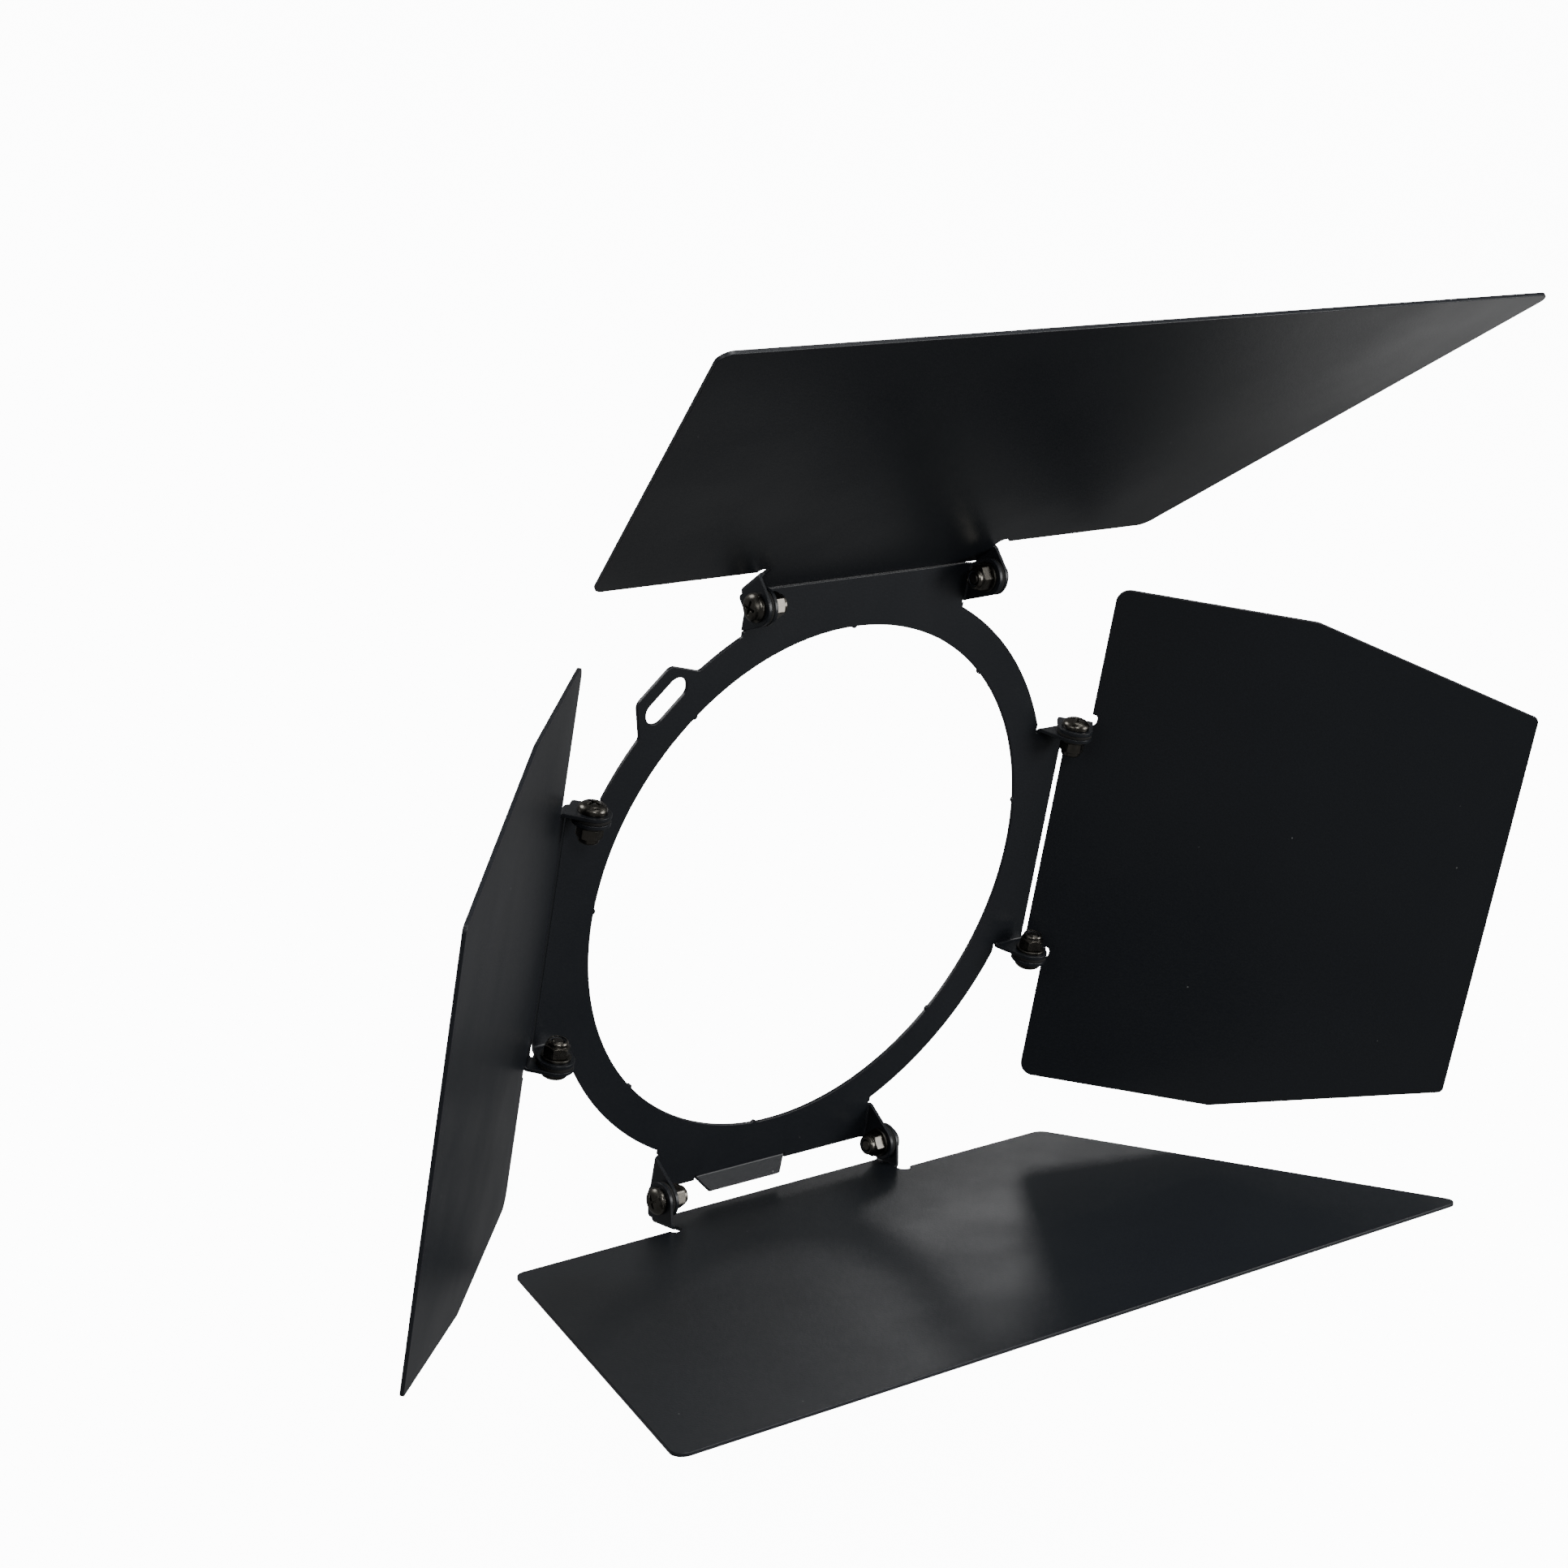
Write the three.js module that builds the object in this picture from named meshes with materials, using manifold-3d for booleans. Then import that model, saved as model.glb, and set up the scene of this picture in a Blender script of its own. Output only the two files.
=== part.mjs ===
// Barn door attachment for a stage lantern: a ring plate with four hinged leaves.
// Millimetres. X to the right seen from the front, -Y out of the front, +Z up.
// Origin: centre of the round opening, in the plane of the plate's back face.
import * as THREE from "three";
import { mergeVertices } from "three/addons/utils/BufferGeometryUtils.js";
import Module from "manifold-3d";

const wasm = await Module();
wasm.setup();

// ---- sheet metal
const SHEET = 1.2;
const BEND_INSIDE = 0.7;
const GAP = 0.05;                 // air between stacked hinge pieces

// ---- ring plate
const RING_RADIUS = 95.25;
const OPENING_RADIUS = 83.3;
const EAR_ROOT = 87.0;            // where an ear leaves its tab, from the centre
const LUG_ANGLE = 45;             // degrees, from straight up towards the left
const LUG_TOP = 104;
const SLOT_CENTRE = 96.3;
const SLOT_WIDTH = 7;
const SLOT_LENGTH = 16.4;
const NIB_ANGLES = [90, 47.9, 10, -42.4, -93.8, 177.4, 132.5, -135];
const NIB_RADIUS = 1;

// ---- hinges
const PIVOT_HEIGHT = 7.5;         // hinge axis in front of the plate's front face
const EAR_RADIUS = 5.7;
const HOLE_RADIUS = 2.03;

// ---- leaves
const NOTCH = 4;                  // width of the relief notch beside a leaf ear

// ---- lip on the bottom tab: the open bottom leaf comes to rest along it
const LIP_FROM = -26.2;
const LIP_TO = 9.2;
const LIP_CORNER = 98.25;         // where its outer face leaves the back face, from the centre
const LIP_BEND = THREE.MathUtils.degToRad(43);
const LIP_LENGTH = 6;
const LIP_SLANT = 3.6;

// One entry per leaf. "rest" is the stored angle of the leaf: 0 lies flat in the
// plate's plane, 90 points straight forward. Leaf sizes are given as r, away from the
// hinge axis, and as half widths along it:
//   tab, tabEdge: half width of the plate's tab and its edge, from the centre
//   axis, offset: hinge axis from the centre, and leaf's inner face behind the axis
//   tabEnd, hinge, far: r of the leaf's middle tab end, its hinge edge and its far edge
const wide = {
  tab: 43.3, tabEdge: 99.2, axis: 97.4, offset: 7.1, tabEnd: -3.8, hinge: 8.3,
  hingeHalf: 107.2, farHalf: 156.2, far: 145.8,
};
const slim = {
  tab: 37.6, tabEdge: 98.6, axis: 95.6, offset: 7.8, tabEnd: -1.7, hinge: 5.2,
  hingeHalf: 86.3, shoulder: 69, farHalf: 67.1, far: 143.6,
};
const SIDES = [
  { name: "top", turn: 0, rest: 43, ends: { "-1": "left", "1": "right" }, ...wide },
  { name: "right", turn: 90, rest: 43, ends: { "-1": "upper", "1": "lower" }, ...slim },
  { name: "bottom", turn: 180, rest: 104.2, ends: { "-1": "right", "1": "left" }, ...wide },
  { name: "left", turn: 270, rest: 43, ends: { "-1": "lower", "1": "upper" }, ...slim },
];

const PAINT = { color: 0x2b2e30, roughness: 0.62, metalness: 0.1 };
const ZINC = { color: 0x4a4a48, roughness: 0.3, metalness: 0.9 };
const FIBRE = { color: 0x161616, roughness: 0.8, metalness: 0 };
const NYLON = { color: 0x24262a, roughness: 0.5, metalness: 0 };

const group = new THREE.Group();
group.name = "barn_door_attachment";

// ---------------------------------------------------------------- outlines

// Points round a polygon whose corners are [x, y, rounding radius].
function rounded(corners, stepDegrees = 18) {
  const points = [];
  const vectors = corners.map(([x, y]) => new THREE.Vector2(x, y));
  corners.forEach(([, , radius = 0], i) => {
    const corner = vectors[i];
    if (radius === 0) {
      points.push(corner);
      return;
    }
    const before = vectors[(i + corners.length - 1) % corners.length].clone().sub(corner).normalize();
    const after = vectors[(i + 1) % corners.length].clone().sub(corner).normalize();
    const half = Math.acos(before.dot(after)) / 2;
    const middle = before.clone().add(after).normalize();
    const centre = corner.clone().addScaledVector(middle, radius / Math.sin(half));
    const start = corner.clone().addScaledVector(before, radius / Math.tan(half)).sub(centre);
    const end = corner.clone().addScaledVector(after, radius / Math.tan(half)).sub(centre);
    const sweep = Math.atan2(start.cross(end), start.dot(end));
    const steps = Math.max(2, Math.ceil(Math.abs(sweep) / THREE.MathUtils.degToRad(stepDegrees)));
    for (let k = 0; k <= steps; k += 1) {
      points.push(start.clone().rotateAround(new THREE.Vector2(), (sweep * k) / steps).add(centre));
    }
  });
  return points;
}

// Points along a circular arc, angles in degrees.
function arc(x, y, radius, from, to, steps) {
  const points = [];
  for (let k = 0; k <= steps; k += 1) {
    const angle = THREE.MathUtils.degToRad(from + ((to - from) * k) / steps);
    points.push(new THREE.Vector2(x + radius * Math.cos(angle), y + radius * Math.sin(angle)));
  }
  return points;
}

function circle(x, y, radius, steps) {
  return arc(x, y, radius, 0, 360 - 360 / steps, steps - 1);
}

// ---------------------------------------------------------------- solids

function toSolid(geometry) {
  const bare = geometry.clone();
  bare.deleteAttribute("normal");
  bare.deleteAttribute("uv");
  const merged = mergeVertices(bare, 1e-5);
  return new wasm.Manifold(new wasm.Mesh({
    numProp: 3,
    vertProperties: Float32Array.from(merged.attributes.position.array),
    triVerts: Uint32Array.from(merged.index.array),
  }));
}

function toGeometry(solid) {
  const { vertProperties, triVerts } = solid.getMesh();
  const geometry = new THREE.BufferGeometry();
  geometry.setAttribute("position", new THREE.BufferAttribute(vertProperties, 3));
  geometry.setIndex(new THREE.BufferAttribute(triVerts, 1));
  geometry.computeVertexNormals();
  return geometry;
}

function join(solids) {
  return solids.reduce((whole, solid) => whole.add(solid));
}

// Solid from an outline (with holes) pushed from one level to another.
// "basis" says where the outline's x, its y and the push direction point.
function prism(outline, from, to, basis, holes = []) {
  const shape = new THREE.Shape(outline);
  shape.holes = holes.map((points) => new THREE.Path(points));
  const geometry = new THREE.ExtrudeGeometry(shape, { depth: to - from, bevelEnabled: false });
  geometry.translate(0, 0, from);
  if (basis) geometry.applyMatrix4(basis);
  return toSolid(geometry);
}

// Work frame of one side: x along the hinge, y away from the centre, z forward.
const ACROSS = new THREE.Matrix4().makeBasis(
  new THREE.Vector3(0, 1, 0), new THREE.Vector3(0, 0, 1), new THREE.Vector3(1, 0, 0));
const ALONG = new THREE.Matrix4().makeBasis(
  new THREE.Vector3(1, 0, 0), new THREE.Vector3(0, 0, 1), new THREE.Vector3(0, -1, 0));

// Sheet with both ends folded up into ears: a U section cut to the ears' side outline.
// The section stands on z = 0; the side outline is given in y, z.
function foldedEars(half, height, sideOutline, pivot) {
  const inner = half - SHEET;
  const fold = BEND_INSIDE + SHEET;
  const section = rounded([
    [-half, height], [-half, 0, fold], [half, 0, fold], [half, height],
    [inner, height], [inner, SHEET, BEND_INSIDE], [-inner, SHEET, BEND_INSIDE], [-inner, height],
  ], 22.5);
  const ys = sideOutline.map((point) => point.x);
  const channel = prism(section, -Math.max(...ys) - 1, -Math.min(...ys) + 1, ALONG);
  const hole = circle(pivot.x, pivot.y, HOLE_RADIUS, 20);
  return channel.intersect(prism(sideOutline, -half - 1, half + 1, ACROSS, [hole]));
}

// ---------------------------------------------------------------- ring plate

// Side outline of a plate ear: straight edges from the root, tangent to the round end.
function plateEarOutline(side) {
  const pivot = new THREE.Vector2(side.axis, SHEET + PIVOT_HEIGHT);
  const tangent = (x, turn) => {
    const away = new THREE.Vector2(x, SHEET).sub(pivot);
    const spread = Math.acos(EAR_RADIUS / away.length());
    return THREE.MathUtils.radToDeg(away.angle() + turn * spread);
  };
  const outer = tangent(side.tabEdge, 1) - 360;
  const inner = tangent(EAR_ROOT, -1);
  return [
    new THREE.Vector2(EAR_ROOT, 0),
    new THREE.Vector2(side.tabEdge, 0),
    new THREE.Vector2(side.tabEdge, SHEET),
    ...arc(pivot.x, pivot.y, EAR_RADIUS, outer, inner, 14),
    new THREE.Vector2(EAR_ROOT, SHEET),
  ];
}

// One tab with its two folded ears, in the work frame of its side.
function plateTab(side) {
  const half = side.tab;
  const pivot = new THREE.Vector2(side.axis, SHEET + PIVOT_HEIGHT);
  const flatHalf = half + SHEET - BEND_INSIDE - SHEET;
  const flat = prism(rounded([
    [-half, OPENING_RADIUS - 4], [half, OPENING_RADIUS - 4], [half, EAR_ROOT - 0.6],
    [flatHalf, EAR_ROOT - 0.6], [flatHalf, side.tabEdge],
    [-flatHalf, side.tabEdge], [-flatHalf, EAR_ROOT - 0.6], [-half, EAR_ROOT - 0.6],
  ]), 0, SHEET);
  const ears = foldedEars(half + SHEET, pivot.y + EAR_RADIUS + 1, plateEarOutline(side), pivot);
  return flat.add(ears);
}

// The short lip bent forward from the edge of the bottom tab, and the room cut for it.
function plateLip() {
  const out = Math.cos(LIP_BEND);
  const rise = Math.sin(LIP_BEND);
  const half = Math.tan(LIP_BEND / 2);
  const section = rounded([
    [LIP_CORNER - 4, 0], [LIP_CORNER, 0, SHEET + BEND_INSIDE],
    [LIP_CORNER + LIP_LENGTH * out, LIP_LENGTH * rise],
    [LIP_CORNER + LIP_LENGTH * out - SHEET * rise, LIP_LENGTH * rise + SHEET * out],
    [LIP_CORNER - SHEET * half, SHEET, BEND_INSIDE], [LIP_CORNER - 4, SHEET],
  ], 12);
  const reach = LIP_CORNER + LIP_LENGTH * out;
  const trim = prism(rounded([
    [-LIP_TO, LIP_CORNER - 5], [-LIP_FROM, LIP_CORNER - 5], [-LIP_FROM, LIP_CORNER],
    [-LIP_FROM - LIP_SLANT, reach, 1], [-LIP_TO + LIP_SLANT, reach, 1], [-LIP_TO, LIP_CORNER],
  ]), -1, 20);
  const lip = prism(section, -LIP_TO, -LIP_FROM, ACROSS).intersect(trim);
  const bendStart = LIP_CORNER - (SHEET + BEND_INSIDE) * half;
  const room = prism([
    new THREE.Vector2(-LIP_TO - 0.5, bendStart), new THREE.Vector2(-LIP_FROM + 0.5, bendStart),
    new THREE.Vector2(-LIP_FROM + 0.5, LIP_CORNER + 5), new THREE.Vector2(-LIP_TO - 0.5, LIP_CORNER + 5),
  ], -1, SHEET + 1);
  return { lip, room };
}

function sideTurn(degrees) {
  return new THREE.Matrix4().makeRotationZ(-THREE.MathUtils.degToRad(degrees));
}

function turned(solid, degrees) {
  const geometry = toGeometry(solid);
  geometry.applyMatrix4(sideTurn(degrees));
  return toSolid(geometry);
}

function buildPlate() {
  const lug = prism(rounded([
    [-17, 85], [17, 85], [17, 93.72], [13.2, 94.33, 2], [7.5, LUG_TOP, 3],
    [-7.5, LUG_TOP, 3], [-13.2, 94.33, 2], [-17, 93.72],
  ]), 0, SHEET);
  const end = SLOT_LENGTH / 2 - SLOT_WIDTH / 2;
  const slot = prism([
    ...arc(end, SLOT_CENTRE, SLOT_WIDTH / 2, -90, 90, 12),
    ...arc(-end, SLOT_CENTRE, SLOT_WIDTH / 2, 90, 270, 12),
  ], -1, SHEET + 1);
  const nibs = NIB_ANGLES.map((degrees) => {
    const angle = THREE.MathUtils.degToRad(degrees);
    const reach = OPENING_RADIUS + 0.4;
    return prism(circle(reach * Math.cos(angle), reach * Math.sin(angle), NIB_RADIUS, 12), 0, SHEET);
  });
  const disc = prism(circle(0, 0, RING_RADIUS, 144), 0, SHEET);
  const tabs = SIDES.map((side) => turned(plateTab(side), side.turn));
  const { lip, room } = plateLip();
  const blank = join([disc, turned(lug, -LUG_ANGLE), ...tabs]).subtract(turned(room, 180));
  const solid = blank.add(turned(lip, 180))
    .subtract(prism(circle(0, 0, OPENING_RADIUS, 144), -1, SHEET + 1))
    .subtract(turned(slot, -LUG_ANGLE));
  return join([solid, ...nibs]);
}

// ---------------------------------------------------------------- leaves

// Outline of a leaf's flat panel, x = s along the hinge, y = r away from it.
function leafOutline(side) {
  const ear = side.tab + 2 * SHEET + 1 + GAP * 2;
  const flat = ear - SHEET - BEND_INSIDE;
  const notchTop = side.hinge + 1.8;
  const far = side.shoulder
    ? [[side.hingeHalf, side.shoulder, 3], [side.farHalf, side.far, 2]]
    : [[side.farHalf, side.far, 3.5]];
  const right = [
    [flat, side.tabEnd], [flat, notchTop, 1.9], [flat + NOTCH, notchTop, 1.9],
    [flat + NOTCH, side.hinge, 0.5], [side.hingeHalf, side.hinge, 4.5], ...far,
  ];
  const left = right.map(([s, r, radius]) => [-s, r, radius]).reverse();
  return rounded([...right, ...left]);
}

// Side outline of a leaf ear: a U round the pivot, with a free foot past the tab.
function leafEarOutline(side) {
  const foot = SHEET + BEND_INSIDE;
  const pivotLevel = SHEET + side.offset;
  return [
    new THREE.Vector2(side.tabEnd, 0),
    new THREE.Vector2(EAR_RADIUS, 0),
    ...arc(0, pivotLevel, EAR_RADIUS, 0, 180, 12),
    ...arc(-EAR_RADIUS + 1.2, foot + 1.2, 1.2, 180, 270, 4),
    new THREE.Vector2(side.tabEnd, foot),
  ];
}

// Leaf in its own frame: hinge axis along x through the origin, panel behind it.
function buildLeaf(side) {
  const half = side.tab + 2 * SHEET + 1 + GAP * 2;
  const panel = prism(leafOutline(side), 0, SHEET);
  const pivot = new THREE.Vector2(0, SHEET + side.offset);
  const ears = foldedEars(half, pivot.y + EAR_RADIUS + 1, leafEarOutline(side), pivot);
  const geometry = toGeometry(panel.add(ears));
  return geometry.translate(0, 0, -pivot.y);
}

// ---------------------------------------------------------------- hinge hardware
// Profiles are [radius, height]; height runs outward along the hinge axis from the
// plate ear's inner face. The screw head is outside the leaf ear.

const WASHER_TOP = -GAP;
const WASHER_THICKNESS = 0.85;
const NUT_TOP = WASHER_TOP - WASHER_THICKNESS - GAP;
const NUT_HEX = 3.3;
const NUT_HEIGHT = 4.9;
const NUT_ACROSS_FLATS = 7;
const FRICTION_BOTTOM = SHEET + GAP;
const FRICTION_THICKNESS = 1;
const HEAD_BOTTOM = 2 * SHEET + FRICTION_THICKNESS + 3 * GAP;
const HEAD_RADIUS = 4.35;
const HEAD_HEIGHT = 2.8;
const SHANK_RADIUS = 1.95;

function lathe(profile, segments) {
  return new THREE.LatheGeometry(profile.map(([r, y]) => new THREE.Vector2(r, y)), segments);
}

function washer(inner, outer, bottom, thickness, segments) {
  const top = bottom + thickness;
  return lathe([
    [inner, bottom], [outer, bottom], [outer, top], [inner, top], [inner, bottom],
  ], segments);
}

// Pan-head screw: low dome on a short rim, cross recess, plain shank with a chamfered tip.
function screwGeometry() {
  const rim = 0.7;
  const top = HEAD_BOTTOM + HEAD_HEIGHT;
  const dome = [];
  const flat = 1.2;
  for (let k = 0; k <= 4; k += 1) {
    const angle = (Math.PI / 2) * (k / 4);
    dome.push([
      flat + (HEAD_RADIUS - flat) * Math.cos(angle),
      HEAD_BOTTOM + rim + (HEAD_HEIGHT - rim) * Math.sin(angle),
    ]);
  }
  const tip = NUT_TOP - NUT_HEIGHT + 0.1;
  const body = toSolid(lathe([
    [0, tip], [SHANK_RADIUS - 0.5, tip], [SHANK_RADIUS, tip + 0.6],
    [SHANK_RADIUS, HEAD_BOTTOM], [HEAD_RADIUS - 0.15, HEAD_BOTTOM],
    [HEAD_RADIUS, HEAD_BOTTOM + 0.15], ...dome, [0, top],
  ], 22));
  const wing = [
    new THREE.Vector2(-0.7, top - 1.7), new THREE.Vector2(0.7, top - 1.7),
    new THREE.Vector2(2.5, top + 0.1), new THREE.Vector2(-2.5, top + 0.1),
  ];
  const blade = prism(wing, -0.42, 0.42);
  const crossed = prism(wing, -0.42, 0.42, new THREE.Matrix4().makeRotationY(Math.PI / 2));
  return toGeometry(body.subtract(blade.add(crossed)));
}

// Lock nut: chamfered hexagon with a round collar that carries the nylon ring.
function nutGeometry() {
  const end = NUT_TOP - NUT_HEIGHT;
  const step = NUT_TOP - NUT_HEX;
  const point = NUT_ACROSS_FLATS / Math.sqrt(3);
  const chamfer = point - NUT_ACROSS_FLATS / 2;
  const envelope = toSolid(lathe([
    [2.5, end + 0.25], [2.35, end + 0.25], [2.35, end], [2.75, end], [3.1, end + 0.5],
    [3.1, step - 0.15], [point - chamfer, step], [point, step + chamfer * 0.58],
    [point, NUT_TOP - chamfer * 0.58], [point - chamfer, NUT_TOP], [2.3, NUT_TOP],
    [2.05, NUT_TOP - 0.2], [2.05, end + 1.6], [2.5, end + 1.35], [2.5, end + 0.25],
  ], 20));
  const lying = new THREE.Matrix4().makeRotationX(-Math.PI / 2);
  const hexagon = prism(circle(0, 0, point, 6), end - 1, NUT_TOP + 1, lying);
  return toGeometry(envelope.intersect(hexagon));
}

function nylonGeometry() {
  const end = NUT_TOP - NUT_HEIGHT;
  return washer(2.0, 2.45, end + 0.3, 1, 16);
}

// ---------------------------------------------------------------- assembly

function place(parent, geometry, name, look) {
  const mesh = new THREE.Mesh(geometry, new THREE.MeshStandardMaterial(look));
  mesh.name = name;
  parent.add(mesh);
  return mesh;
}

// Turns a work frame (x along the hinge, y out from the centre, z forward) into the part's frame.
function sideGroup(side) {
  const frame = new THREE.Group();
  frame.rotation.order = "YXZ";
  frame.rotation.y = THREE.MathUtils.degToRad(side.turn);
  frame.rotation.x = Math.PI / 2;
  group.add(frame);
  return frame;
}

const plateFrame = new THREE.Group();
plateFrame.rotation.x = Math.PI / 2;
group.add(plateFrame);
place(plateFrame, toGeometry(buildPlate()), "plate", PAINT);

for (const side of SIDES) {
  const frame = sideGroup(side);
  const axle = new THREE.Group();
  axle.position.set(0, side.axis, SHEET + PIVOT_HEIGHT);
  frame.add(axle);

  const swing = new THREE.Group();
  swing.rotation.x = THREE.MathUtils.degToRad(side.rest);
  axle.add(swing);
  place(swing, buildLeaf(side), `leaf_${side.name}`, PAINT);

  for (const end of [-1, 1]) {
    const stack = new THREE.Group();
    stack.position.x = end * side.tab;
    stack.rotation.z = (-end * Math.PI) / 2;
    axle.add(stack);
    const where = `${side.name}_${side.ends[end]}`;
    place(stack, screwGeometry(), `screw_${where}`, ZINC);
    place(stack, washer(SHANK_RADIUS + 0.1, 5.5, FRICTION_BOTTOM, FRICTION_THICKNESS, 24),
      `friction_washer_${where}`, FIBRE);
    place(stack, washer(SHANK_RADIUS + 0.1, 4.5, NUT_TOP + GAP, WASHER_THICKNESS, 20),
      `flat_washer_${where}`, ZINC);
    place(stack, nutGeometry(), `lock_nut_${where}`, ZINC);
    place(stack, nylonGeometry(), `nylon_ring_${where}`, NYLON);
  }
}

export default group;
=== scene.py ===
"""Barn door attachment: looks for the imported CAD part.

The attachment is folded sheet steel, so the plate and the leaves are made here the way the
press makes them: a flat blank is cut, its edges are rounded, and it is folded along its bend
lines. The hinge hardware is turned from profiles. Lengths are in millimetres until a mesh is
made, and every mesh is in the part's own frame: X to the right seen from the front, -Y out of
the front, +Z up, the origin at the centre of the plate's back face.
"""

import math

import bpy
import numpy as np
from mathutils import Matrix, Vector
from mathutils.geometry import delaunay_2d_cdt


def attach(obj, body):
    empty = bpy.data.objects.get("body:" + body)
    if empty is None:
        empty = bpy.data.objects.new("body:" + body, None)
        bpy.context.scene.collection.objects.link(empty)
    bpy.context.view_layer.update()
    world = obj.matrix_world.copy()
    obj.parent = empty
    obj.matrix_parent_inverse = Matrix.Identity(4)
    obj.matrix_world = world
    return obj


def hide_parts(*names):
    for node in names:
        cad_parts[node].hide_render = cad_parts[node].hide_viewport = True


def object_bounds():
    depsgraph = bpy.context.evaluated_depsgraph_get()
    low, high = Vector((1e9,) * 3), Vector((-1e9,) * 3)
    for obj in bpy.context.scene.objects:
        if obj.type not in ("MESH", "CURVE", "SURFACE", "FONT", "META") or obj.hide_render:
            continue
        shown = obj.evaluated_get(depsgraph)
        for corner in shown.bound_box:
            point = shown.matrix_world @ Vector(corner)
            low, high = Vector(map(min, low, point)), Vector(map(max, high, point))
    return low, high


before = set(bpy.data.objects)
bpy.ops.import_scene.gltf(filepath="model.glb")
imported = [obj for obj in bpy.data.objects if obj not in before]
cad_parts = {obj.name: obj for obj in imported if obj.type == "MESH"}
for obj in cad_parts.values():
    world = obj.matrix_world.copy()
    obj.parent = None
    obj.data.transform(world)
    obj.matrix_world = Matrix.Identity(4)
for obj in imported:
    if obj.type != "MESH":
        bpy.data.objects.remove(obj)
low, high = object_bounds()

# ------------------------------------------------------------------------------------------
# Ring plate. One 1.2 mm mild steel blank, laser cut and folded: four tabs, eight hinge ears,
# a slotted lug for the safety wire and a short lip that the open bottom leaf rests along.
# Powder coated satin black after folding, so its edges are soft. The lantern's runners hold it.
# ------------------------------------------------------------------------------------------

SHEET = 1.2
EDGE_ROUND = 0.2
EDGE_STEP = 2.5                    # longest step along a cut edge
BEND_INSIDE = 0.7
BEND_MIDDLE = BEND_INSIDE + SHEET / 2
BEND_LENGTH = BEND_MIDDLE * math.pi / 2
BEND_ROWS = 7
BEND_CLEAR = 0.5                   # a bend's lines stop this far from the cut edges
PIVOT_LEVEL = SHEET + 7.5          # hinge axes in front of the plate's back face
EAR_RADIUS = 5.7
EAR_ROOT = 87.0                    # lower end of a plate ear's bend, from the plate's centre
EAR_FLARE = 1.3                    # an ear keeps its full width this far past its bend line
EAR_STEP = 0.4
HOLE_RADIUS = 2.03
RELIEF = 0.6
RELIEF_CORNER = 0.25
SLOT_CORNER = 0.2
RING_RADIUS = 95.25
OPENING_RADIUS = 83.3

# Sizes of a side. From its middle line and the plate's centre: tab, the plate ears' inner faces;
# tab_edge, the tab's outer edge; axis, the hinge axis; offset, from that axis back to the leaf's
# inner face. From the hinge axis along the leaf: tab_end, where the leaf ears' bends end; hinge,
# shoulder and far, its edges and corners, with the half widths there.
WIDE = dict(tab=43.3, tab_edge=99.2, axis=97.4, offset=7.1, tab_end=-3.8, hinge=8.3,
            hinge_half=107.2, far_half=156.2, far=145.8)
SLIM = dict(tab=37.6, tab_edge=98.6, axis=95.6, offset=7.8, tab_end=-1.7, hinge=5.2,
            hinge_half=86.3, shoulder=69.0, far_half=67.1, far=143.6)

# turn is clockwise from the top, rest is the stored angle of the leaf, ends are the names of the
# side's two ends
SIDES = {
    "top": dict(WIDE, turn=0, rest=43.0, ends={-1: "left", 1: "right"}),
    "left": dict(SLIM, turn=270, rest=43.0, ends={-1: "lower", 1: "upper"}),
    "bottom": dict(WIDE, turn=180, rest=104.2, ends={-1: "right", 1: "left"}),
    "right": dict(SLIM, turn=90, rest=43.0, ends={-1: "upper", 1: "lower"}),
}


def rounded(corners, step=math.radians(7.5)):
    """Polygon with rounded corners: a corner (x, y, radius) becomes an arc tangent to its sides."""
    corners = [tuple(c) + (0.0,) * (3 - len(c)) for c in corners]
    points = []
    for i, (x, y, radius) in enumerate(corners):
        corner = np.array((x, y))
        if radius == 0:
            points.append(corner[None])
            continue
        before = np.array(corners[i - 1][:2]) - corner
        after = np.array(corners[(i + 1) % len(corners)][:2]) - corner
        before /= np.linalg.norm(before)
        after /= np.linalg.norm(after)
        half = math.acos(np.clip(before @ after, -1, 1)) / 2
        middle = (before + after) / np.linalg.norm(before + after)
        centre = corner + middle * radius / math.sin(half)
        start = corner + before * radius / math.tan(half) - centre
        end = corner + after * radius / math.tan(half) - centre
        sweep = math.atan2(start[0] * end[1] - start[1] * end[0], start @ end)
        t = np.linspace(0, sweep, max(3, math.ceil(abs(sweep) / step) + 1))[:, None]
        turned = np.hstack((-start[1:], start[:1]))
        points.append(centre + np.cos(t) * start + np.sin(t) * turned)
    return np.vstack(points)


def arc(x, y, radius, start, end, step=7.5):
    """Points on a circular arc between two angles in degrees."""
    t = np.radians(np.linspace(start, end, max(3, math.ceil(abs(end - start) / step) + 1)))
    return np.stack((x + radius * np.cos(t), y + radius * np.sin(t)), 1)


def turned_side(points, turn):
    """(s, v) of a side's own frame to (x, z) of the part: turned clockwise, seen from the front."""
    c, k = math.cos(math.radians(turn)), math.sin(math.radians(turn))
    s, v = points.T
    return np.stack((s * c + v * k, v * c - s * k), 1)


def filled(points, longest):
    """The open line through the points, with extra points so no step is longer than the length."""
    step = np.diff(points, axis=0)
    counts = np.ceil(np.linalg.norm(step[:, :2], axis=1) / longest).astype(int).clip(1)
    index = np.arange(counts.sum()) - np.repeat(np.cumsum(counts) - counts, counts)
    part = np.repeat(step / counts[:, None], counts, 0)
    return np.vstack((np.repeat(points[:-1], counts, 0) + part * index[:, None], points[-1:]))


def left_of(directions):
    """Each 2-D direction turned a quarter turn to its left."""
    return np.stack((-directions[:, 1], directions[:, 0]), 1)


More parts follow.
